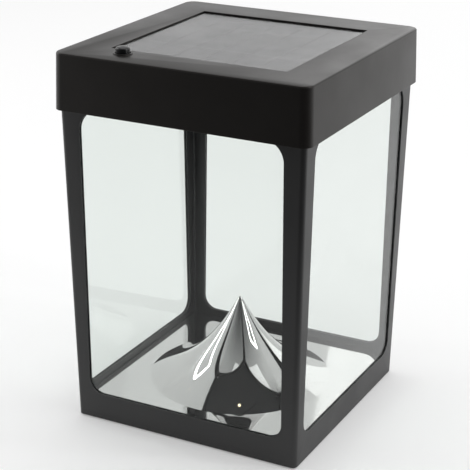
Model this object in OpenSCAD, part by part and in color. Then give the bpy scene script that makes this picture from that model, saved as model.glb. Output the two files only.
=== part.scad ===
// Square solar lantern: tapered black frame with four clear panes, a mirror cone in the
// bottom, and a lift-off lid with the solar panel on top and one LED shining down.
// Millimetres, +Z up, origin at the middle of the surface that the feet stand on.

/* [Overall] */
// Height of the lid's top edge above the ground
total_h = 201.6; // [195:0.1:215]
// Wall thickness of the frame
wall = 2.4; // [2:0.1:3]

/* [Frame] */
// Half width of the frame at its lower edge
frame_half_low = 64.8; // [64:0.1:65.5]
// Half width of the frame where it meets the lid's skirt
frame_half_high = 68; // [67.5:0.1:68.1]
// Radius of the frame's upright corners
frame_corner_r = 2.6; // [2:0.1:4]
// Half width of each window opening
window_half_w = 56.7; // [52:0.1:57.5]
// Height of the window's lower edge
window_low = 15.6; // [15:0.1:20]
// Radius of the window's lower corners
window_low_r = 8; // [4:0.5:12]
// Radius of the window's upper corners
window_high_r = 11; // [4:0.5:12]
// Thickness of the clear panes, which sit in grooves inside the walls
pane_t = 1; // [0.8:0.1:1.2]

/* [Lid] */
// Half width of the lid at its top edge
lid_half_top = 70; // [70:0.1:71]
// Half width of the lid at its lower edge
lid_half_low = 70.7; // [70.7:0.1:72]
// Height of the lid
lid_h = 29.4; // [29:0.1:30]
// Radius of the lid's upright corners
lid_corner_r = 5.4; // [4:0.1:7]
// Half width of the solar panel's recess
recess_half = 48.7; // [46:0.1:49]

/* [Reflector] */
// Radius of the cone's foot
cone_r = 49.5; // [40:0.5:52]
// Height of the cone's tip above the ground
cone_tip = 58; // [45:0.5:60]

/* [Button] */
// Radius of the push button's cap
button_r = 3.7; // [3:0.1:3.7]
// How far the button travels
button_travel = 1.5; // [1:0.1:1.8]

/* [Hidden] */
$fn = 64;
gap = 0.3;
frame_base = 0.8;
lid_low = total_h - lid_h;
taper = atan((frame_half_high - frame_half_low) / lid_low);
frame_top = lid_low + 5.3;
window_high = lid_low + 1.2;
reflector_top = 11.8;
reflector_t = 1.8;
reflector_half = 62.2;
pane_half_w = 60.5;
pane_low = reflector_top + gap;
pane_high = frame_top - 0.5;
base_t = 2.4;
base_half = 62;
foot_r = 5;
foot_t = 1.6;
foot_at = 46;
base_boss_at = 55;
base_boss_r = 4;

skin_t = 2.4;
skin_low = total_h - skin_t;
lid_inner_half = 68.6;
recess_floor = total_h - 3.7;
lead_hole_y = 8;
lead_hole_r = 3;
tray_low = recess_floor - 2;
tray_half = recess_half + 2;
ceiling_low = frame_top + gap;
ceiling_t = 2;
ceiling_top = ceiling_low + ceiling_t;
ceiling_half = 68.2;
lid_boss_at = 60;
lid_boss_r = 3.6;

panel_half = recess_half - 0.5;
adhesive_t = 0.3;
board_t = 1.2;
cell_t = 0.3;
ribbon_t = 0.1;
panel_board_low = recess_floor + adhesive_t;
cell_low = panel_board_low + board_t;
ribbon_low = cell_low + cell_t;
glass_low = ribbon_low + ribbon_t;
glass_high = total_h - 0.8;
cell_count = 6;
cell_pitch = 15.6;

button_x = -37.6;
button_y = -55.7;
flange_r = 4.6;
button_top = total_h + 3.9;
flange_low = skin_low - gap - 1.3;
switch_top = flange_low - 4.4;
switch_low = switch_top - 7;
plunger_r = 1.7;

battery_y = 28;
battery_r = 7.1;
battery_l = 49;
battery_z = ceiling_top + battery_r + 0.3;
bay_l = 60;
bay_w = 15.2;
cover_l = 64;
cover_w = 19;
cover_t = 1.2;
cover_high = ceiling_low - gap;
rail_low = cover_high - cover_t - gap - 1.1;

control_x = -12;
control_y = -24;
control_w = 40;
control_d = 24;
control_low = ceiling_top + 2.2;
control_top = control_low + board_t;
screw_r = 1.45;
pilot_r = 1.15;
lead_r = 0.6;

// ---------- helpers ----------

// Half width of the frame's outside at height z.
function frame_half(z) = frame_half_low + z * tan(taper);

// Children at the four corners of a square of half side d.
module corners(d) {
    for (sx = [-1, 1], sy = [-1, 1]) translate([sx * d, sy * d, 0]) children();
}

// Ring of points round a square with rounded corners, at height z.
function square_ring_points(half, r, z, steps = 8) = [
    for (corner = [0 : 3], k = [0 : steps])
        let (a = 90 * (corner + k / steps), m = 90 * corner + 45)
            [(half - r) * sqrt(2) * cos(m) + r * cos(a), (half - r) * sqrt(2) * sin(m) + r * sin(a), z]
];

// Square block with rounded upright edges whose half width changes at each [z, half] layer.
module layered_block(layers, r) {
    rings = [for (layer = layers) square_ring_points(layer[1], r, layer[0])];
    n = len(rings[0]);
    last = len(rings) - 1;
    walls = [
        for (i = [0 : last - 1], k = [0 : n - 1])
            [i * n + k, (i + 1) * n + k, (i + 1) * n + (k + 1) % n, i * n + (k + 1) % n]
    ];
    ends = [[for (k = [0 : n - 1]) k], [for (k = [n - 1 : -1 : 0]) last * n + k]];
    polyhedron(points = [for (ring = rings) each ring], faces = concat(walls, ends), convexity = 4);
}

// Upright square block of half side d with sharp edges.
module block(d, low, high) {
    translate([-d, -d, low]) cube([2 * d, 2 * d, high - low]);
}

// Upright box centred on x and y.
module box(x, y, low, size_x, size_y, high) {
    translate([x - size_x / 2, y - size_y / 2, low]) cube([size_x, size_y, high - low]);
}

// Flat square ring.
module square_ring(outer, inner, low, high) {
    difference() {
        block(outer, low, high);
        block(inner, low - 1, high + 1);
    }
}

// Screw with a countersunk head at z = 0 and its shank along +Z.
module screw(length, r = screw_r) {
    difference() {
        union() {
            cylinder(r1 = 2 * r, r2 = r, h = r);
            cylinder(r = r * 0.78, h = length);
        }
        for (turn = [0, 90]) rotate(turn) box(0, 0, -1, 2.4 * r, 0.5, 0.55);
    }
}

// Catmull-Rom point between p1 and p2.
function smooth_point(p0, p1, p2, p3, t) =
    0.5 * (2 * p1 + (p2 - p0) * t + (2 * p0 - 5 * p1 + 4 * p2 - p3) * t * t
    + (3 * p1 - p0 - 3 * p2 + p3) * t * t * t);

// Smooth path through the given points, with n steps between neighbours.
function smooth_path(points, n) = [
    for (i = [0 : len(points) - 2], k = [0 : i == len(points) - 2 ? n : n - 1])
        smooth_point(points[max(i - 1, 0)], points[i], points[i + 1],
            points[min(i + 2, len(points) - 1)], k / n)
];

function unit(v) = v / norm(v);

// Direction of a path at its point i.
function heading(path, i) =
    unit(path[min(i + 1, len(path) - 1)] - path[max(i - 1, 0)]);

// Points of a coil around the Z axis: turns, radius, start and end height.
function coil_path(turns, r, low, high, steps = 12) = [
    for (i = [0 : turns * steps])
        [r * cos(360 * i / steps), r * sin(360 * i / steps),
            low + (high - low) * i / (turns * steps)]
];

// Round tube swept along a path. side is a direction never parallel to the path.
module tube(path, r, side = [0.3, 0.4, 0.87], n = 8) {
    last = len(path) - 1;
    points = [
        for (i = [0 : last], k = [0 : n - 1])
            let (d = heading(path, i), u = unit(cross(d, side)), v = cross(d, u))
                path[i] + r * (cos(360 * k / n) * u + sin(360 * k / n) * v)
    ];
    walls = [
        for (i = [0 : last - 1], k = [0 : n - 1])
            [i * n + k, (i + 1) * n + k, (i + 1) * n + (k + 1) % n, i * n + (k + 1) % n]
    ];
    ends = [[for (k = [0 : n - 1]) k], [for (k = [n - 1 : -1 : 0]) last * n + k]];
    polyhedron(points = points, faces = concat(walls, ends), convexity = 6);
}

// ---------- lower body ----------

// Outline of a window opening, drawn in X and Z.
module window_outline() {
    w = window_half_w;
    lr = window_low_r;
    hr = window_high_r;
    translate([-w, window_low + lr]) square([2 * w, window_high - window_low - lr - hr]);
    translate([-w + lr, window_low]) square([2 * (w - lr), 2 * lr]);
    translate([-w + hr, window_high - 2 * hr]) square([2 * (w - hr), 2 * hr]);
    for (s = [-1, 1]) {
        translate([s * (w - lr), window_low + lr]) circle(lr);
        translate([s * (w - hr), window_high - hr]) circle(hr);
    }
}

// Room of one pane in the wall that faces -Y, leaning with it and grown by extra all round.
module pane_space(high, extra = 0) {
    translate([0, wall / 2 - frame_half_low, 0]) rotate([taper, 0, 0])
        translate([-pane_half_w - extra, -pane_t / 2 - extra, pane_low - extra])
        cube([2 * (pane_half_w + extra), pane_t + 2 * extra, high - pane_low + 2 * extra]);
}

module body_frame() {
    color("#262626") difference() {
        union() {
            difference() {
                layered_block([[frame_base, frame_half(frame_base)],
                    [frame_top, frame_half(frame_top)]], frame_corner_r);
                layered_block([[-1, frame_half(-1) - wall],
                    [frame_top + 1, frame_half(frame_top + 1) - wall]], 1);
            }
            corners(base_boss_at)
                translate([0, 0, frame_base + base_t])
                cylinder(r = base_boss_r, h = reflector_top - reflector_t - 0.2 - frame_base - base_t);
            for (turn = [45 : 90 : 315]) rotate(turn)
                translate([base_boss_at * sqrt(2) + 2, -1, frame_base + base_t])
                cube([10.4, 2, 6]);
        }
        for (turn = [0, 90]) rotate(turn)
            translate([0, 100, 0]) rotate([90, 0, 0]) linear_extrude(200) window_outline();
        for (turn = [0 : 90 : 270]) rotate(turn) pane_space(frame_top + 5, 0.1);
        corners(base_boss_at) cylinder(r = pilot_r, h = 10);
    }
}

// One clear pane, in the groove of the wall that faces -Y. It slides in from the frame's top.
module pane() {
    color("#dfeeea", 0.25) pane_space(pane_high);
}

module window_front() { pane(); }
module window_right() { rotate(90) pane(); }
module window_back() { rotate(180) pane(); }
module window_left() { rotate(270) pane(); }

// Point of the cone's outline, a cubic curve from the steep tip to the flared foot.
function cone_point(t) =
    let (s = 1 - t, rise = cone_tip - reflector_top, tip = [0.8, cone_tip], foot = [cone_r, reflector_top],
        neck = [cone_r * 0.227, reflector_top + rise * 0.59],
        skirt = [cone_r * 0.444, reflector_top + rise * 0.216])
        s * s * s * tip + 3 * s * s * t * neck + 3 * s * t * t * skirt + t * t * t * foot;

module reflector_cone() {
    steps = 20;
    outside = [for (i = [0 : steps]) cone_point(i / steps)];
    inside = [for (i = [steps : -1 : 1]) cone_point(i / steps) - [1.2, reflector_t]];
    color("#d8dadc") {
        difference() {
            block(reflector_half, reflector_top - reflector_t, reflector_top);
            translate([0, 0, reflector_top - 5]) cylinder(r = cone_r - 1, h = 10);
        }
        rotate_extrude($fn = 96) polygon(concat(
            [[0, cone_tip + 0.25]], outside, [[cone_r, reflector_top - reflector_t]],
            inside, [[0, inside[steps - 1][1]]]));
    }
}

module reflector_pads() {
    color("#f2f0e6") corners(base_boss_at) difference() {
        translate([0, 0, reflector_top - reflector_t - 0.2]) cylinder(r = base_boss_r, h = 0.2);
        cylinder(r = pilot_r, h = 20);
    }
}

module base_plate() {
    color("#202020") difference() {
        layered_block([[frame_base, base_half], [frame_base + base_t, base_half]], 2);
        corners(base_boss_at) {
            cylinder(r = screw_r + 0.15, h = 10);
            translate([0, 0, frame_base - 0.01])
                cylinder(r1 = 2 * screw_r + 0.2, r2 = screw_r + 0.15, h = screw_r + 0.1);
        }
        corners(foot_at) cylinder(r = foot_r + 0.15, h = foot_t + 0.02);
    }
}

module base_screws() {
    color("silver") corners(base_boss_at) translate([0, 0, frame_base + 0.05]) screw(8);
}

module rubber_feet() {
    color("#111111") corners(foot_at) {
        cylinder(r1 = foot_r - 0.6, r2 = foot_r, h = 0.6);
        translate([0, 0, 0.6]) cylinder(r = foot_r, h = foot_t - 0.6);
    }
}

// ---------- lid ----------

module lid_cover() {
    color("#2a2928") difference() {
        union() {
            difference() {
                layered_block([[lid_low, lid_half_low], [total_h - 0.9, lid_half_top],
                    [total_h - 0.27, lid_half_top - 0.27], [total_h, lid_half_top - 0.9]], lid_corner_r);
                layered_block([[lid_low - 1, lid_inner_half], [skin_low, lid_inner_half]], 4);
            }
            block(tray_half, tray_low, total_h - 0.5);
            corners(lid_boss_at) translate([0, 0, ceiling_top])
                cylinder(r = lid_boss_r, h = skin_low - ceiling_top + 0.5);
            translate([button_x, button_y, skin_low]) cylinder(r = button_r + 1.3, h = skin_t + 0.5);
        }
        block(recess_half, recess_floor, total_h + 1);
        translate([0, lead_hole_y, tray_low - 1]) cylinder(r = lead_hole_r, h = 5);
        corners(lid_boss_at) translate([0, 0, ceiling_top - 1]) cylinder(r = pilot_r, h = 13);
        translate([button_x, button_y, skin_low - 1]) cylinder(r = button_r + gap + 0.05, h = 6);
    }
}

module panel_adhesive() {
    color("#e8e4d8") difference() {
        block(panel_half - 1.5, recess_floor, recess_floor + adhesive_t);
        translate([0, lead_hole_y, recess_floor - 1]) cylinder(r = lead_hole_r, h = 3);
    }
}

module panel_board() {
    color("#1d3a2a") block(panel_half, panel_board_low, cell_low);
}

module solar_cells() {
    color("#20242c") for (i = [0 : cell_count - 1])
        box((i - (cell_count - 1) / 2) * cell_pitch, 0, cell_low,
            cell_pitch - 0.5, 2 * panel_half - 4, ribbon_low);
}

// Two thin collecting ribbons across all the cells.
module cell_ribbons() {
    color("#b9bcc0") for (s = [-1, 1])
        box(0, s * panel_half * 0.45, ribbon_low, cell_count * cell_pitch, 0.8, glass_low);
}

module panel_glass() {
    color("#3a3d42", 0.5) difference() {
        block(panel_half, cell_low, glass_high);
        for (i = [0 : cell_count - 1])
            box((i - (cell_count - 1) / 2) * cell_pitch, 0, cell_low - 1,
                cell_pitch - 0.5, 2 * panel_half - 4, ribbon_low);
        for (s = [-1, 1])
            box(0, s * panel_half * 0.45, cell_low - 1, cell_count * cell_pitch, 0.8, glass_low);
    }
}

module panel_seal() {
    color("#161616")
    square_ring(recess_half - 0.05, panel_half + 0.02, recess_floor + 0.02, glass_high - 0.6);
}

module ceiling_plate() {
    color("#242424") difference() {
        union() {
            layered_block([[ceiling_low, ceiling_half], [ceiling_top, ceiling_half]], 3.5);
            // rails that hold the battery cover, one at each long side
            for (s = [-1, 1]) translate([0, battery_y, 0]) {
                box(0, s * (cover_w / 2 + 0.9), rail_low, cover_l, 1.2, ceiling_low + 0.1);
                box(0, s * (cover_w / 2 - 0.1), rail_low, cover_l, 3.2, rail_low + 1);
            }
            box(-cover_l / 2 - 0.9, battery_y, rail_low, 1.2, cover_w + 3, ceiling_low + 0.1);
            // collar round the lamp
            translate([0, 0, ceiling_low - 1.5]) cylinder(r = 4.6, h = 2);
            // posts under the lamp's board, the control board and the switch
            for (turn = [45 : 90 : 315]) rotate(turn) translate([6.5, 0, ceiling_top - 0.2])
                cylinder(r = 1.2, h = 1.2);
            for (sx = [-1, 1], sy = [-1, 1])
                translate([control_x + sx * (control_w / 2 - 3), control_y + sy * (control_d / 2 - 3),
                    ceiling_top - 0.2]) cylinder(r = 2, h = control_low - ceiling_top + 0.2);
            box(button_x, button_y, ceiling_top - 0.2, 8, 8, switch_low);
        }
        box(0, battery_y, ceiling_low - 3, bay_l - 4, bay_w, ceiling_top + 1);
        translate([0, 0, ceiling_low - 3]) cylinder(r = 2.75, h = 8);
        corners(lid_boss_at) {
            translate([0, 0, ceiling_low - 1]) cylinder(r = screw_r + 0.15, h = 6);
            translate([0, 0, ceiling_low - 0.01])
                cylinder(r1 = 2 * screw_r + 0.2, r2 = screw_r + 0.15, h = screw_r + 0.1);
        }
    }
}

module ceiling_screws() {
    color("silver") corners(lid_boss_at) translate([0, 0, ceiling_low + 0.05]) screw(10);
}

module led_board() {
    color("#e9ece6") translate([0, 0, ceiling_top + 1]) cylinder(r = 9, h = board_t);
}

// Five millimetre lamp with a domed tip that points down.
module led_lamp() {
    color("#fff3c8") {
        translate([0, 0, ceiling_top]) cylinder(r = 2.9, h = 1);
        translate([0, 0, ceiling_low - 1]) cylinder(r = 2.5, h = ceiling_t + 1);
        translate([0, 0, ceiling_low - 1]) sphere(r = 2.5);
    }
}

module control_board() {
    color("#1f5a36") box(control_x, control_y, control_low, control_w, control_d, control_top);
}

module driver_chip() {
    color("#1a1a1a") {
        box(control_x - 8, control_y + 2, control_top + 0.1, 4, 5, control_top + 1.5);
        for (s = [-1, 1], k = [-1.5 : 1 : 1.5])
            box(control_x - 8 + s * 2.6, control_y + 2 + k * 1.27, control_top, 1.4, 0.4, control_top + 0.4);
    }
}

module board_inductor() {
    color("#3b3b3f") translate([control_x + 2, control_y + 3, control_top]) {
        cylinder(r = 3.4, h = 0.8);
        cylinder(r = 2.6, h = 5);
        translate([0, 0, 4.2]) cylinder(r = 3.4, h = 0.8);
    }
}

module board_capacitor() {
    color("#2b3f6b") translate([control_x + 12, control_y + 4, control_top]) cylinder(r = 2.5, h = 7);
}

module lead_connector() {
    color("#f1efe4") difference() {
        box(control_x + 8, control_y - 7.6, control_top, 12, 5, control_top + 5);
        for (i = [-1.5 : 1 : 1.5])
            box(control_x + 8 + i * 2.6, control_y - 7.6, control_top + 2, 1.8, 2.4, control_top + 6);
    }
}

module switch_body() {
    color("#303236") translate([button_x, button_y, 0]) difference() {
        box(0, 0, switch_low, 8, 8, switch_top);
        translate([0, 0, switch_low + 1]) cylinder(r = plunger_r + 0.1, h = 10);
    }
}

module battery_holder() {
    color("#1c1c1c") difference() {
        box(0, battery_y, ceiling_top, bay_l + 2.4, bay_w + 2.4, battery_z + battery_r + 1);
        box(0, battery_y, ceiling_top - 1, bay_l, bay_w, battery_z + battery_r + 0.2);
    }
}

module battery_cell() {
    color("#3f7f4a") translate([-battery_l / 2 - 1.5, battery_y, battery_z]) rotate([0, 90, 0]) {
        cylinder(r = battery_r, h = battery_l);
        cylinder(r = 2.7, h = battery_l + 1);
    }
}

module battery_spring() {
    color("silver") translate([-bay_l / 2 + 0.8, battery_y, battery_z]) rotate([0, 90, 0]) {
        tube(coil_path(4, 3.6, 0.2, 2.6), 0.3, [0, 0, 1], 8);
        translate([0, 0, -0.7]) cylinder(r = 5, h = 0.5);
    }
}

module battery_contact() {
    color("silver") {
        box(bay_l / 2 - 0.5, battery_y, battery_z - 5, 0.5, 10, battery_z + 5);
        translate([bay_l / 2 - 0.7, battery_y, battery_z]) rotate([0, -90, 0])
            cylinder(r1 = 3, r2 = 2, h = 4);
    }
}

// One wire through hand-set points.
module lead(points, colour) {
    color(colour) tube(smooth_path(points, 5), lead_r);
}

// The four leads in the connector's slots are a slot's pitch apart.
module panel_leads() {
    for (s = [0, 1]) lead([
        [-1 + 2 * s, lead_hole_y, panel_board_low - lead_r], [-1 + 2 * s, 8, 195], [-1 + 2 * s, 6, 192.5],
        [-2 + 2 * s, 0, 191], [-4 + 2.4 * s, -16, 191], [-7.6 + 2.6 * s, -29, 190],
        [-7.9 + 2.6 * s, -31.6, 186.6]
    ], s == 0 ? "#b02020" : "#202020");
}

module battery_leads() {
    for (s = [-1, 1]) lead([
        [s * 28, 18.4, 190], [s * 28, 16, 190.5], [s * 26, 8, 192], [s * 20, -8, 193],
        [s * 3 - 1, -28.5, 191.8], [s * 1.3 - 1.4, -31.2, 189.8], [s * 1.3 - 1.4, -31.6, 186.6]
    ], s < 0 ? "#202020" : "#b02020");
}

module led_leads() {
    for (s = [-1, 1]) lead([
        [s * 3, -4, ceiling_top + 1 + board_t + lead_r], [3 + s * 2.4, -8, 184],
        [5 + s * 2, -14, 185.5], [5 + s * 2, -17, control_top + lead_r]
    ], s < 0 ? "#b02020" : "#202020");
}

module switch_leads() {
    for (s = [-1, 1]) lead([
        [button_x + 4 + lead_r, button_y + s * 2, 188], [-31, -55 + s * 2, 189],
        [-29 - s, -48, 188], [-28 - s * 1.5, -38, 186.5], [-27 - s * 1.5, -34, control_top + lead_r]
    ], "#202020");
}

module button_spring() {
    color("silver") translate([button_x, button_y, 0])
        tube(coil_path(4, 2.7, switch_top + 0.3, flange_low - 0.3), 0.3, [0, 0, 1], 8);
}

// ---------- pieces that move on their own ----------

module power_button() {
    color("#0d0d0e") translate([button_x, button_y, 0]) {
        translate([0, 0, flange_low]) cylinder(r = flange_r, h = 1.3);
        rotate_extrude() polygon(concat(
            [[0, flange_low + 0.5], [button_r, flange_low + 0.5]],
            [for (a = [0 : 15 : 90]) [button_r - 1.6 + 1.6 * cos(a), button_top - 1.6 + 1.2 * sin(a)]],
            [[0, button_top]]));
    }
}

module switch_plunger() {
    color("#c9cbd0") translate([button_x, button_y, switch_low + 1 + button_travel + 0.5])
        cylinder(r = plunger_r, h = flange_low - switch_low - 1.5 - button_travel);
}

module battery_cover() {
    color("#2c2c2c") {
        box(0, battery_y, cover_high - cover_t, cover_l - 0.4, cover_w - 0.6, cover_high);
        for (i = [-2 : 2]) box(-22 + i * 2.4, battery_y, cover_high - cover_t - 0.7, 1, 10, cover_high - 0.5);
    }
}

body_frame();
window_front();
window_right();
window_back();
window_left();
reflector_cone();
reflector_pads();
base_plate();
base_screws();
rubber_feet();
lid_cover();
panel_adhesive();
panel_board();
solar_cells();
cell_ribbons();
panel_glass();
panel_seal();
ceiling_plate();
ceiling_screws();
led_board();
led_lamp();
control_board();
driver_chip();
board_inductor();
board_capacitor();
lead_connector();
switch_body();
battery_holder();
battery_cell();
battery_spring();
battery_contact();
panel_leads();
battery_leads();
led_leads();
switch_leads();
button_spring();
power_button();
switch_plunger();
battery_cover();
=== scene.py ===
# %% [markdown]
# # A solar lantern with a mirror cone
# The lantern is a tapered black frame with four clear panes. A mirror-coated reflector lies in its bottom, and a
# box-shaped lid with a solar panel sits on top. The shapes that fit and move come ready made from the packed
# frame, so this lesson only adds finishes, light and the few surfaces that must be smoother than the frame's.

import bmesh
import bpy
import numpy as np
from mathutils import Matrix, Vector


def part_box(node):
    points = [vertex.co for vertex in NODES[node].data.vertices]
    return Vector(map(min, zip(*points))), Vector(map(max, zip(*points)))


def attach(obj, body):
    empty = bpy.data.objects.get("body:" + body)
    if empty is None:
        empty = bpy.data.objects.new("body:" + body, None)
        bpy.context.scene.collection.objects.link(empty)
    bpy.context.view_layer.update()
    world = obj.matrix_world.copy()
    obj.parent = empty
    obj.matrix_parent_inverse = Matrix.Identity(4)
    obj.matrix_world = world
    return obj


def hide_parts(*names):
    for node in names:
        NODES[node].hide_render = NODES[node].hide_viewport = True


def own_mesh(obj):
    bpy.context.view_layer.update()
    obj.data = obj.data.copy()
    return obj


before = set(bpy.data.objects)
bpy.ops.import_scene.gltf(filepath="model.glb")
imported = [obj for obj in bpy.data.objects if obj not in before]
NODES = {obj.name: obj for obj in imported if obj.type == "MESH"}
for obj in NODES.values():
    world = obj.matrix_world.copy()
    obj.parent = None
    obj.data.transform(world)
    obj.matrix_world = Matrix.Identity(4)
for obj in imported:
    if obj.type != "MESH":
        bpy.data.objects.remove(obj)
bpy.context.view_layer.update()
scene = bpy.context.scene
MM = 0.001

# %% [markdown]
# ## Camera
# The lantern is seen from a little above and from its front right corner. A long lens keeps the uprights almost
# parallel. The camera is placed by three angles and a distance from the lantern's middle, which is easier to
# adjust than a raw location.

# %% Camera axes
AZIMUTH, ELEVATION, ROLL = np.radians([27.277, 20.911, 0.370]).tolist()
DISTANCE = 792.58 * MM
OFFSET_RIGHT, OFFSET_UP = -3.262 * MM, -6.341 * MM
LENS_MM, SENSOR_MM = 113.11, 36
# The ring round the button stands this far above the lid's flat top.
BUTTON_RING = 0.5 * MM
HALF_WAY_UP = (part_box("lid_cover")[1].z - BUTTON_RING) / 2


def camera_axes(azimuth, elevation, roll):
    """Right, up and backward directions of a camera turned by the three angles."""
    back = Vector((
        np.sin(azimuth) * np.cos(elevation),
        -np.cos(azimuth) * np.cos(elevation),
        np.sin(elevation),
    ))
    right = (-back).cross(Vector((0, 0, 1))).normalized()
    up = right.cross(-back)
    turned_right = right * np.cos(roll) + up * np.sin(roll)
    turned_up = up * np.cos(roll) - right * np.sin(roll)
    return turned_right, turned_up, back


# %% Camera
right, up, back = camera_axes(AZIMUTH, ELEVATION, ROLL)
eye = Vector((0, 0, HALF_WAY_UP)) + back * DISTANCE + right * OFFSET_RIGHT + up * OFFSET_UP
camera = bpy.data.objects.new("camera", bpy.data.cameras.new("camera"))
scene.collection.objects.link(camera)
camera.matrix_world = Matrix.Translation(eye) @ Matrix((right, up, back)).transposed().to_4x4()
camera.data.lens = LENS_MM
camera.data.sensor_width = SENSOR_MM
camera.data.clip_start = 10 * MM
scene.camera = camera
scene.view_settings.view_transform = "Standard"
print("camera at", [round(v, 3) for v in eye])

# %% [markdown]
# ## Studio
# Black plastic and mirror show the room more than themselves, so the room is most of the picture. Pale walls and
# pale paper light everything softly. Both fade to dark on the side that the lantern's front faces, which keeps
# the front of the frame black and gives the mirror cone its dark shapes.

# %% Node helpers
def node(tree, kind, **values):
    """Adds one node and sets its properties, or its input sockets where the name is a socket's."""
    made = tree.nodes.new(kind)
    for name, value in values.items():
        if hasattr(made, name):
            setattr(made, name, value)
        else:
            made.inputs[name.replace("_", " ")].default_value = value
    return made


def two_tone(tree, first, second):
    """Colour ramp between two stops, each given as a position and a linear RGB colour."""
    ramp = node(tree, "ShaderNodeValToRGB")
    for stop, (position, colour) in zip(ramp.color_ramp.elements, (first, second)):
        stop.position = position
        stop.color = (*colour, 1)
    return ramp


def reach_along(tree, coordinates, direction):
    """How far a coordinate lies along a direction: their dot product."""
    place = node(tree, "ShaderNodeTexCoord")
    reach = node(tree, "ShaderNodeVectorMath", operation="DOT_PRODUCT")
    reach.inputs[1].default_value = direction
    tree.links.new(place.outputs[coordinates], reach.inputs[0])
    return reach.outputs["Value"]


# %% Walls
DARK_SIDE = Vector((0.458, -0.889, 0.0))
PALE_WALL = (0.45, (0.90, 0.90, 0.90))
DARK_WALL = (0.92, (0.04, 0.041, 0.043))

world = bpy.data.worlds.new("white_room")
scene.world = world
world.use_nodes = True
tree = world.node_tree
tree.nodes.clear()
from_zero_to_one = node(tree, "ShaderNodeMath", operation="MULTIPLY_ADD")
from_zero_to_one.inputs[1].default_value = 0.5
from_zero_to_one.inputs[2].default_value = 0.5
shade = two_tone(tree, PALE_WALL, DARK_WALL)
walls = node(tree, "ShaderNodeBackground", Strength=1.0)
out = node(tree, "ShaderNodeOutputWorld")
tree.links.new(reach_along(tree, "Generated", DARK_SIDE), from_zero_to_one.inputs[0])
tree.links.new(from_zero_to_one.outputs[0], shade.inputs[0])
tree.links.new(shade.outputs[0], walls.inputs["Color"])
tree.links.new(walls.outputs[0], out.inputs[0])
print("walls fade from", PALE_WALL[1][0], "to", DARK_WALL[1][0])

# %% [markdown]
# The paper glows a little besides being lit. The glow is painted light: it washes out the lantern's cast shadow, so
# the paper stays white right up to the horizon. It fades to dark between 10 and 34 centimetres from the lantern's
# middle, beyond the part that the camera sees.

# %% Paper floor
FLOOR_HALF = 3.0
PALE_PAPER = (0.10, (0.74, 0.74, 0.74))
DARK_PAPER = (0.34, (0.10, 0.10, 0.102))
PAPER_GLOW, PAPER_ROUGHNESS = 0.34, 0.9

floor_mesh = bpy.data.meshes.new("floor")
corners = [(-1, -1), (1, -1), (1, 1), (-1, 1)]
floor_mesh.from_pydata([(x * FLOOR_HALF, y * FLOOR_HALF, 0) for x, y in corners], [], [(0, 1, 2, 3)])
floor = bpy.data.objects.new("floor", floor_mesh)
scene.collection.objects.link(floor)
paper = bpy.data.materials.new("white_paper")
paper.use_nodes = True
tree = paper.node_tree
paper_shader = tree.nodes["Principled BSDF"]
paper_shader.inputs["Roughness"].default_value = PAPER_ROUGHNESS
# The glow is painted light that fills in the lantern's cast shadow on the paper.
paper_shader.inputs["Emission Strength"].default_value = PAPER_GLOW
fade = two_tone(tree, PALE_PAPER, DARK_PAPER)
tree.links.new(reach_along(tree, "Object", DARK_SIDE), fade.inputs[0])
tree.links.new(fade.outputs[0], paper_shader.inputs["Base Color"])
tree.links.new(fade.outputs[0], paper_shader.inputs["Emission Color"])
floor_mesh.materials.append(paper)
print("paper is", 2 * FLOOR_HALF, "m wide")

# %% [markdown]
# Soft boxes are area lights. One stands behind, where the right part of the lid's top mirrors it, and one
# overhead fills the floor. On each side a window-shaped frame of thin boxes gives the cone its white streaks.

# %% Soft boxes
MIDDLE = Vector((0, 0, 0.1))
FRAME_SIZE, FRAME_BAR = (0.42, 0.9), 0.06


def towards_middle(place):
    """Rotation that aims a light from a place at the lantern's middle."""
    return (MIDDLE - Vector(place)).to_track_quat("-Z", "Y").to_matrix()


def soft_box(name, place, facing, size, watts):
    """Oblong area light at a place, turned by facing."""
    light = bpy.data.lights.new(name, "AREA")
    light.shape = "RECTANGLE"
    light.size, light.size_y = size
    light.energy = watts
    lamp = bpy.data.objects.new(name, light)
    scene.collection.objects.link(lamp)
    lamp.matrix_world = Matrix.Translation(place) @ facing.to_4x4()


def light_frame(name, place, watts):
    """Four thin soft boxes joined into an upright window shape. The mirror draws it as a bright hairpin."""
    facing = towards_middle(place)
    width, height = FRAME_SIZE
    area = 2 * FRAME_BAR * (width + height)
    for part, (x, y), oblong in (
        ("low", (0, -height / 2), (width, FRAME_BAR)), ("high", (0, height / 2), (width, FRAME_BAR)),
        ("near", (-width / 2, 0), (FRAME_BAR, height)), ("far", (width / 2, 0), (FRAME_BAR, height)),
    ):
        share = oblong[0] * oblong[1] / area
        soft_box(name + "_" + part, Vector(place) + facing @ Vector((x, y, 0)), facing, oblong, watts * share)


for name, place, size, watts in (
    ("box_overhead", (0.1, 0.1, 1.6), (1.2, 1.2), 4),
    ("box_behind", (0.1, 1.6, 0.8), (1.5, 0.9), 3.4),
):
    soft_box(name, place, towards_middle(place), size, watts)
light_frame("frame_right", (1.35, 0.1, 0.7), 5)
light_frame("frame_left", (-1.3, -0.1, 0.8), 4)
print(len(bpy.data.lights), "soft boxes")

# %% [markdown]
# ## Shared effects
# Two effects are used by several finishes, so each is a node group. The first is the fine satin grain of
# moulded plastic: a fast noise for the grain itself and a slow one for the uneven gloss of a big part. The
# second finds worn edges by comparing the true normal with one smoothed by a Bevel node.

# %% Node group helper
def new_group(name, inputs, outputs):
    """Node group with float inputs given as name: default, and named float outputs."""
    group = bpy.data.node_groups.new(name, "ShaderNodeTree")
    for label, value in inputs.items():
        socket = group.interface.new_socket(label, in_out="INPUT", socket_type="NodeSocketFloat")
        socket.default_value = value
    for label in outputs:
        group.interface.new_socket(label, in_out="OUTPUT", socket_type="NodeSocketFloat")
    return group, group.nodes.new("NodeGroupInput"), group.nodes.new("NodeGroupOutput")


# %% Moulded grain
PIT_SHARE, MOTTLE_SCALE = 0.6, 28.0


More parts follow.
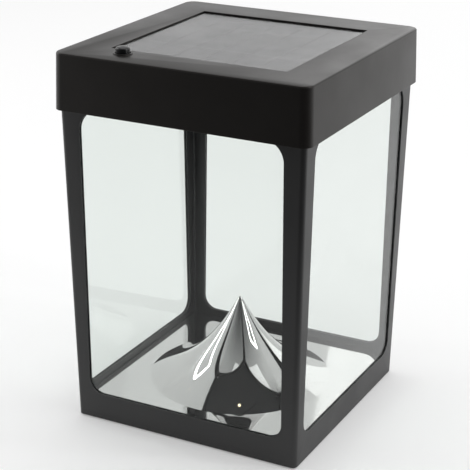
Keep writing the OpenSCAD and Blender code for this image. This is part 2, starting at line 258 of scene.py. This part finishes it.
def make_grain():
    """Height of a fine grain, a roughness that wanders by Spread, and a slow mottle from 0 to 1."""
    group, given, result = new_group(
        "moulded_grain", {"Scale": 900.0, "Roughness": 0.4, "Spread": 0.08}, ("Height", "Roughness", "Mottle"))
    place = node(group, "ShaderNodeTexCoord")
    fine = node(group, "ShaderNodeTexNoise", Detail=3.0, Roughness=0.6)
    pits = node(group, "ShaderNodeTexVoronoi", feature="F1")
    slow = node(group, "ShaderNodeTexNoise", Scale=MOTTLE_SCALE, Detail=4.0)
    rubbed = node(group, "ShaderNodeMapRange", From_Min=0.3, From_Max=0.7)
    total = node(group, "ShaderNodeMath", operation="MULTIPLY_ADD")
    total.inputs[1].default_value = PIT_SHARE
    low = node(group, "ShaderNodeMath", operation="SUBTRACT")
    high = node(group, "ShaderNodeMath", operation="ADD")
    link = group.links.new
    for noise in (fine, pits, slow):
        link(place.outputs["Object"], noise.inputs["Vector"])
    for noise in (fine, pits):
        link(given.outputs["Scale"], noise.inputs["Scale"])
    for limit in (low, high):
        link(given.outputs["Roughness"], limit.inputs[0])
        link(given.outputs["Spread"], limit.inputs[1])
    link(pits.outputs["Distance"], total.inputs[0])
    link(fine.outputs["Fac"], total.inputs[2])
    link(slow.outputs["Fac"], rubbed.inputs["Value"])
    link(low.outputs[0], rubbed.inputs["To Min"])
    link(high.outputs[0], rubbed.inputs["To Max"])
    link(total.outputs[0], result.inputs["Height"])
    link(rubbed.outputs[0], result.inputs["Roughness"])
    link(slow.outputs["Fac"], result.inputs["Mottle"])
    return group


GRAIN = make_grain()
print("group:", GRAIN.name)


# %% Rubbed edges
def make_edge_rub():
    """Mask that is 1 on rubbed edges: the true normal against one rounded over Width metres, broken by noise."""
    group, given, result = new_group("edge_rub", {"Width": 0.8 * MM, "Breakup": 220.0}, ("Mask",))
    place = node(group, "ShaderNodeTexCoord")
    true_normal = node(group, "ShaderNodeNewGeometry")
    rounded = node(group, "ShaderNodeBevel", samples=6)
    match = node(group, "ShaderNodeVectorMath", operation="DOT_PRODUCT")
    bent = node(group, "ShaderNodeMapRange", From_Min=0.995, From_Max=0.88)
    patchy = node(group, "ShaderNodeTexNoise", Detail=5.0)
    keep = node(group, "ShaderNodeMapRange", From_Min=0.35, From_Max=0.65)
    mask = node(group, "ShaderNodeMath", operation="MULTIPLY")
    link = group.links.new
    link(given.outputs["Width"], rounded.inputs["Radius"])
    link(rounded.outputs[0], match.inputs[0])
    link(true_normal.outputs["Normal"], match.inputs[1])
    link(match.outputs["Value"], bent.inputs["Value"])
    link(place.outputs["Object"], patchy.inputs["Vector"])
    link(given.outputs["Breakup"], patchy.inputs["Scale"])
    link(patchy.outputs["Fac"], keep.inputs["Value"])
    link(bent.outputs[0], mask.inputs[0])
    link(keep.outputs[0], mask.inputs[1])
    link(mask.outputs[0], result.inputs["Mask"])
    return group


EDGE_RUB = make_edge_rub()
print("group:", EDGE_RUB.name)

# %% [markdown]
# ## Finishes
# Most finishes have the same skeleton: a body colour that drifts a little, a paler rubbed edge, a wandering
# roughness and a fine bump. One function builds what all of them share, a second adds the rubbed edges, and each
# finish gives its own colours and depths. Bump depths are in micrometres, the size of real moulded grain.

# %% Shared skeleton
# A Mix node set to colours keeps its sockets at these places.
FACTOR, FIRST, SECOND, RESULT = 0, 6, 7, 2
UM = 0.000001


def mix_colours(tree, first, second):
    """Mix node between two linear RGB colours."""
    mix = node(tree, "ShaderNodeMix", data_type="RGBA")
    mix.inputs[FIRST].default_value = (*first, 1)
    mix.inputs[SECOND].default_value = (*second, 1)
    return mix


def grained(name, first, second, roughness, spread, scale, depth_um):
    """Material whose colour drifts between two, with the grain's roughness and bump. Also gives its drift node."""
    material = bpy.data.materials.new(name)
    material.use_nodes = True
    tree = material.node_tree
    shader = tree.nodes["Principled BSDF"]
    grain = node(tree, "ShaderNodeGroup", node_tree=GRAIN, Scale=scale, Roughness=roughness, Spread=spread)
    drift = mix_colours(tree, first, second)
    bump = node(tree, "ShaderNodeBump", Strength=1.0, Distance=depth_um * UM)
    link = tree.links.new
    link(grain.outputs["Mottle"], drift.inputs[FACTOR])
    link(drift.outputs[RESULT], shader.inputs["Base Color"])
    link(grain.outputs["Roughness"], shader.inputs["Roughness"])
    link(grain.outputs["Height"], bump.inputs["Height"])
    link(bump.outputs["Normal"], shader.inputs["Normal"])
    return material, drift


# %% Finish builder
DRIFT = 0.14


def finish(name, colour, rub_colour, roughness, spread=0.06, scale=900.0, depth_um=20, **shader_values):
    """Material with grain, mottled colour and rubbed edges. colour and rub_colour are linear RGB."""
    darker, lighter = [c * (1 - DRIFT) for c in colour], [min(c * (1 + DRIFT), 1) for c in colour]
    material, drift = grained(name, darker, lighter, roughness, spread, scale, depth_um)
    tree = material.node_tree
    shader = tree.nodes["Principled BSDF"]
    rub = node(tree, "ShaderNodeGroup", node_tree=EDGE_RUB)
    worn = mix_colours(tree, colour, rub_colour)
    tree.links.new(drift.outputs[RESULT], worn.inputs[FIRST])
    tree.links.new(rub.outputs["Mask"], worn.inputs[FACTOR])
    tree.links.new(worn.outputs[RESULT], shader.inputs["Base Color"])
    for label, value in shader_values.items():
        shader.inputs[label.replace("_", " ")].default_value = value
    return material


def dress(material, *names):
    """Gives frame nodes or pieces one finish."""
    for name in names:
        mesh = NODES[name].data if name in NODES else bpy.data.objects[name].data
        mesh.materials.clear()
        mesh.materials.append(material)


# %% [markdown]
# The frame, the lid and the button are separate mouldings. The lid's black is a touch browner and mirrors less,
# the pieces inside are duller, and the button is glossy.

# %% Black plastics
BLACK = finish("satin_black", (0.006, 0.006, 0.0063), (0.03, 0.03, 0.031), roughness=0.40, scale=1100,
               depth_um=30, Specular_IOR_Level=0.6)
LID_BLACK = finish("lid_black", (0.0085, 0.0072, 0.0064), (0.035, 0.032, 0.030), roughness=0.34, spread=0.05,
                   scale=1100, depth_um=30, Specular_IOR_Level=0.33, Specular_Tint=(1.0, 0.97, 0.94, 1))
DARK = finish("inner_dark", (0.016, 0.016, 0.017), (0.04, 0.04, 0.04), roughness=0.55, spread=0.08, scale=700,
              depth_um=40)
GLOSS = finish("button_gloss", (0.006, 0.006, 0.0065), (0.03, 0.03, 0.03), roughness=0.22, spread=0.05,
               scale=500, depth_um=10)
dress(BLACK, "base_plate")
dress(DARK, "ceiling_plate", "battery_cover", "battery_holder")
print("plastics:", BLACK.name, LID_BLACK.name, DARK.name, GLOSS.name)

# %% [markdown]
# ## Clear panes
# The panes are thin sheets of clear plastic with a faint green tint. Each stays a real refracting slab, with an
# index a little below that of acrylic, so that its two surfaces mirror the room without hiding what lies
# behind. Shadow rays pass straight through, because sunlight does too and the cone would otherwise stand in
# the dark.

# %% Clear plastic
CLEAR_GRAIN, CLEAR_DEPTH_UM, CLEAR_DRIFT = 60, 2, 0.985


def clear_plastic(name, tint, haze, ior):
    """Refracting material with a little wandering haze, open to shadow rays."""
    material, _ = grained(name, tint, [c * CLEAR_DRIFT for c in tint], haze, haze, CLEAR_GRAIN, CLEAR_DEPTH_UM)
    tree = material.node_tree
    shader = tree.nodes["Principled BSDF"]
    shader.inputs["Transmission Weight"].default_value = 1.0
    shader.inputs["IOR"].default_value = ior
    open_air = node(tree, "ShaderNodeBsdfTransparent", Color=(*tint, 1))
    path = node(tree, "ShaderNodeLightPath")
    switch = node(tree, "ShaderNodeMixShader")
    link = tree.links.new
    link(path.outputs["Is Shadow Ray"], switch.inputs[0])
    link(shader.outputs[0], switch.inputs[1])
    link(open_air.outputs[0], switch.inputs[2])
    link(switch.outputs[0], tree.nodes["Material Output"].inputs["Surface"])
    return material


PANE = clear_plastic("pane_clear", (0.905, 0.93, 0.915), haze=0.006, ior=1.3)
dress(PANE, "window_front", "window_right", "window_back", "window_left")
print("panes wear", PANE.name)

# %% [markdown]
# ## Smooth surfaces from numpy
# The mirror shows every facet, so the reflector is made again as a dense surface. A shape here is a stack of
# rings, each a closed loop of points, joined into quads and closed by a face at each end.

# %% Loft helpers
def rounded_square(half, corner, steps):
    """Closed loop round a square of half side half: four quarter circles of radius corner, joined by the sides."""
    angles = np.radians(np.linspace(0, 90, steps + 1)[None, :] + 90 * np.arange(4)[:, None])
    middles = np.radians(45 + 90 * np.arange(4))[:, None]
    reach = (half - corner) * np.sqrt(2)
    x = reach * np.cos(middles) + corner * np.cos(angles)
    y = reach * np.sin(middles) + corner * np.sin(angles)
    return np.stack([x.ravel(), y.ravel()], axis=1)


def loft(name, rings, sharp_degrees):
    """Piece from an array of rings (ring, point, xyz): quads between rings and one face at each end.

    Its normals are turned outward, and edges that bend more than sharp_degrees stay creased."""
    count, around = rings.shape[:2]
    index = np.arange(count * around).reshape(count, around)
    after = np.roll(index, -1, axis=1)
    quads = np.stack([index[:-1], after[:-1], after[1:], index[1:]], axis=-1).reshape(-1, 4)
    faces = quads.tolist() + [index[0][::-1].tolist(), index[-1].tolist()]
    mesh = bpy.data.meshes.new(name)
    mesh.from_pydata(rings.reshape(-1, 3).tolist(), [], faces)
    mesh.shade_smooth()
    work = bmesh.new()
    work.from_mesh(mesh)
    bmesh.ops.recalc_face_normals(work, faces=work.faces)
    work.to_mesh(mesh)
    work.free()
    mesh.set_sharp_from_angle(angle=np.radians(sharp_degrees))
    piece = bpy.data.objects.new(name, mesh)
    scene.collection.objects.link(piece)
    print(name, len(mesh.polygons), "faces")
    return piece


# %% [markdown]
# ## Mirror reflector
# On the real light this is one vacuum-coated moulding. The cone's outline is a cubic curve from the steep tip
# to the flared foot, and the plate grows from the foot's circle to a square.

# %% Reflector surface
cone_low, cone_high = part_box("reflector_cone")
PLATE_HALF = cone_high.x
PLATE_TOP = cone_low.z + 1.8 * MM
CONE_TIP = cone_high.z - 0.25 * MM
CONE_R = 49.5 * MM
TIP_R, TIP_DOME = 0.8 * MM, 0.22 * MM
# The curve's two middle points, as shares of the foot's radius and of the cone's height.
NECK, SKIRT = (0.227, 0.59), (0.444, 0.216)
AROUND, ALONG, OUTWARD = 256, 72, 10


def reflector_rings():
    """Radius and height follow s^3 tip + 3s^2 t neck + 3s t^2 skirt + t^3 foot with s = 1-t, then a square plate."""
    rise = CONE_TIP - PLATE_TOP
    tip, foot = np.array([TIP_R, CONE_TIP]), np.array([CONE_R, PLATE_TOP])
    neck, skirt = (np.array([CONE_R * wide, PLATE_TOP + rise * high]) for wide, high in (NECK, SKIRT))
    t = np.linspace(0, 1, ALONG)[:, None]
    s = 1 - t
    outline = s ** 3 * tip + 3 * s ** 2 * t * neck + 3 * s * t ** 2 * skirt + t ** 3 * foot
    cap = np.radians(np.linspace(8, 75, 6))[:, None]
    dome = np.concatenate([TIP_R * np.sin(cap), CONE_TIP + TIP_DOME * np.cos(cap)], axis=1)
    outline = np.concatenate([dome, outline])
    turn = np.linspace(0, 2 * np.pi, AROUND, endpoint=False)
    circle = np.stack([np.cos(turn), np.sin(turn)], axis=1)
    cone = np.concatenate([
        outline[:, None, :1] * circle[None], np.repeat(outline[:, None, 1:], AROUND, axis=1)], axis=2)
    edge = PLATE_HALF * circle / np.maximum(np.abs(circle[:, :1]), np.abs(circle[:, 1:]))
    share = np.linspace(0, 1, OUTWARD)[1:, None, None]
    flat = (1 - share) * (CONE_R * circle)[None] + share * edge[None]
    plate = np.concatenate([flat, np.full((len(share), AROUND, 1), PLATE_TOP)], axis=2)
    underside = plate[-1:].copy()
    underside[..., 2] = cone_low.z
    return np.concatenate([cone, plate, underside])


reflector = loft("reflector_mirror", reflector_rings(), sharp_degrees=20)
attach(reflector, "housing")
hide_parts("reflector_cone")

# %% [markdown]
# The coating is bright but not perfect: thin coats of aluminium show a faint orange peel, and handling leaves
# hazy patches. Both are kept very weak, so the streaks of the soft boxes stay crisp.

# %% Mirror finish
MIRROR, _ = grained("mirror_coating", (0.63, 0.62, 0.625), (0.69, 0.675, 0.67), roughness=0.035, spread=0.02,
                    scale=130, depth_um=3)
MIRROR.node_tree.nodes["Principled BSDF"].inputs["Metallic"].default_value = 1.0
dress(MIRROR, "reflector_mirror")
print("reflector wears", MIRROR.name)

# %% [markdown]
# ## Frame, lid and button with softened edges
# Moulded parts never have knife edges. The frame's own mesh is copied, its loose triangles are merged back into
# flat faces, and a Bevel modifier rounds only the edges sharper than its limit, so every fit stays as it is.

# %% Softened copies
MERGE_DISTANCE = 0.005 * MM
FLAT_DEGREES, CREASE_DEGREES, BEVEL_DEGREES = 0.4, 30, 40


def soften(source, name, width, body):
    """Copy of a frame node whose sharp edges are rounded by width, riding in the node's place."""
    mesh = NODES[source].data.copy()
    mesh.name = name
    work = bmesh.new()
    work.from_mesh(mesh)
    bmesh.ops.remove_doubles(work, verts=work.verts, dist=MERGE_DISTANCE)
    bmesh.ops.dissolve_limit(work, angle_limit=np.radians(FLAT_DEGREES), verts=work.verts, edges=work.edges)
    work.to_mesh(mesh)
    work.free()
    mesh.shade_smooth()
    mesh.set_sharp_from_angle(angle=np.radians(CREASE_DEGREES))
    piece = bpy.data.objects.new(name, mesh)
    scene.collection.objects.link(piece)
    bevel = piece.modifiers.new("softened_edges", "BEVEL")
    bevel.width = width
    bevel.segments = 3
    bevel.limit_method = "ANGLE"
    bevel.angle_limit = np.radians(BEVEL_DEGREES)
    bevel.harden_normals = True
    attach(piece, body)
    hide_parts(source)
    print(name, len(mesh.polygons), "faces before the bevel")


soften("body_frame", "soft_frame", 0.25 * MM, "housing")
soften("lid_cover", "soft_lid", 0.3 * MM, "lid")
soften("power_button", "soft_button", 0.3 * MM, "button")
dress(BLACK, "soft_frame")
dress(LID_BLACK, "soft_lid")
dress(GLOSS, "soft_button")

# %% [markdown]
# ## Solar panel
# The panel is a dark laminate under a glossy resin sheet. The sheet is the part that shows most: it lies a
# little below the rim, has softly rounded edges, and is slightly wavy, which blurs what it mirrors.

# %% Panel cover
SHEET_CORNER, SHEET_EDGE, FLAT_RIM = 0.8 * MM, 0.3 * MM, 0.8 * MM
EDGE_STEPS = 6


def slab_rings(half, low, high):
    """Rounded square loops: up one side, inward along a quarter circle of radius edge, then a little flat rim."""
    bend = np.radians(np.linspace(0, 90, EDGE_STEPS))
    inset = np.concatenate([[0], SHEET_EDGE * (1 - np.cos(bend)), [SHEET_EDGE + FLAT_RIM]])
    height = np.concatenate([[low], high - SHEET_EDGE + SHEET_EDGE * np.sin(bend), [high]])
    loops = [rounded_square(half - i, max(SHEET_CORNER - i, 0.05 * MM), EDGE_STEPS) for i in inset]
    return np.stack([np.column_stack([loop, np.full(len(loop), z)]) for loop, z in zip(loops, height)])


sheet_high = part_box("panel_glass")[1]
sheet_low_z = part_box("cell_ribbons")[1].z + 0.05 * MM
cover = loft("panel_cover", slab_rings(sheet_high.x, sheet_low_z, sheet_high.z), sharp_degrees=35)
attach(cover, "lid")
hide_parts("panel_glass")
RESIN = clear_plastic("panel_resin", (0.70, 0.70, 0.70), haze=0.13, ior=1.26)
dress(RESIN, "panel_cover")

# %% [markdown]
# Six cells lie side by side under the sheet on their backing board, joined by tinned ribbons. They are seen
# only faintly, as pale lines in the grey.

# %% Cells
dress(finish("silicon", (0.045, 0.047, 0.052), (0.08, 0.08, 0.085), roughness=0.35, spread=0.05, scale=400,
             depth_um=10), "solar_cells")
dress(finish("panel_backing", (0.05, 0.052, 0.055), (0.08, 0.08, 0.08), roughness=0.5), "panel_board")
dress(finish("tinned_ribbon", (0.22, 0.22, 0.23), (0.4, 0.4, 0.4), roughness=0.35, Metallic=0.6), "cell_ribbons")
print("cells laid under", RESIN.name)

# %% [markdown]
# ## Pieces inside the lid and under the base
# These are seen with the lid off or from below. Each has its own plain finish from the same builder.

# %% Rubber, foam and steel
dress(finish("black_rubber", (0.012, 0.012, 0.012), (0.04, 0.04, 0.04), roughness=0.75, spread=0.1, scale=500,
             depth_um=50), "rubber_feet", "panel_seal")
dress(finish("foam_tape", (0.6, 0.58, 0.52), (0.7, 0.68, 0.6), roughness=0.9, spread=0.05, scale=600,
             depth_um=100), "reflector_pads", "panel_adhesive")
STEEL = finish("zinc_steel", (0.5, 0.5, 0.51), (0.7, 0.7, 0.7), roughness=0.3, spread=0.1, scale=600,
               depth_um=10, Metallic=1.0)
dress(STEEL, "base_screws", "ceiling_screws", "battery_spring", "battery_contact")
print("metal parts wear", STEEL.name)

# %% Boards and their parts
dress(finish("solder_mask", (0.01, 0.11, 0.05), (0.05, 0.2, 0.1), roughness=0.35, scale=300, depth_um=10),
      "control_board")
dress(finish("white_board", (0.7, 0.71, 0.68), (0.8, 0.8, 0.78), roughness=0.4), "led_board")
dress(finish("chip_epoxy", (0.015, 0.015, 0.016), (0.05, 0.05, 0.05), roughness=0.5),
      "driver_chip", "board_inductor", "switch_body")
dress(finish("nylon", (0.72, 0.71, 0.66), (0.8, 0.8, 0.75), roughness=0.45), "lead_connector", "switch_plunger")
print("boards and their parts are dressed")

# %% Sleeves
for name, colour, rub_colour, roughness, sleeved in (
    ("blue_sleeve", (0.015, 0.04, 0.16), (0.05, 0.08, 0.25), 0.25, ["board_capacitor"]),
    ("green_sleeve", (0.02, 0.17, 0.05), (0.08, 0.3, 0.1), 0.25, ["battery_cell"]),
    ("red_sleeve", (0.3, 0.012, 0.012), (0.4, 0.05, 0.05), 0.35, ["panel_leads", "led_leads"]),
    ("black_sleeve", (0.012, 0.012, 0.012), (0.05, 0.05, 0.05), 0.35, ["battery_leads", "switch_leads"]),
):
    dress(finish(name, colour, rub_colour, roughness), *sleeved)
print(len(bpy.data.materials), "materials so far")

# %% [markdown]
# A steel coil stands under the button. The piece below stands in for the frame's own coil and rides with the lid.

# %% Spring under the button
press_spring = bpy.data.objects.new("press_spring", NODES["button_spring"].data.copy())
scene.collection.objects.link(press_spring)
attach(press_spring, "lid")
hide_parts("button_spring")
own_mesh(press_spring)
dress(STEEL, "press_spring")

# %% [markdown]
# The lamp is a five millimetre dome of clear epoxy over a warm phosphor. Here its whole surface glows a little,
# which is enough for the warm dot that the cone mirrors.

# %% Lamp
LAMP_GLOW, LAMP_COLOUR = 3.0, (1.0, 0.86, 0.55, 1)
LAMP = finish("warm_lamp", (0.9, 0.82, 0.55), (0.95, 0.9, 0.7), roughness=0.12)
lamp_shader = LAMP.node_tree.nodes["Principled BSDF"]
lamp_shader.inputs["Emission Color"].default_value = LAMP_COLOUR
lamp_shader.inputs["Emission Strength"].default_value = LAMP_GLOW
dress(LAMP, "led_lamp")
print("lamp glows", LAMP_GLOW)
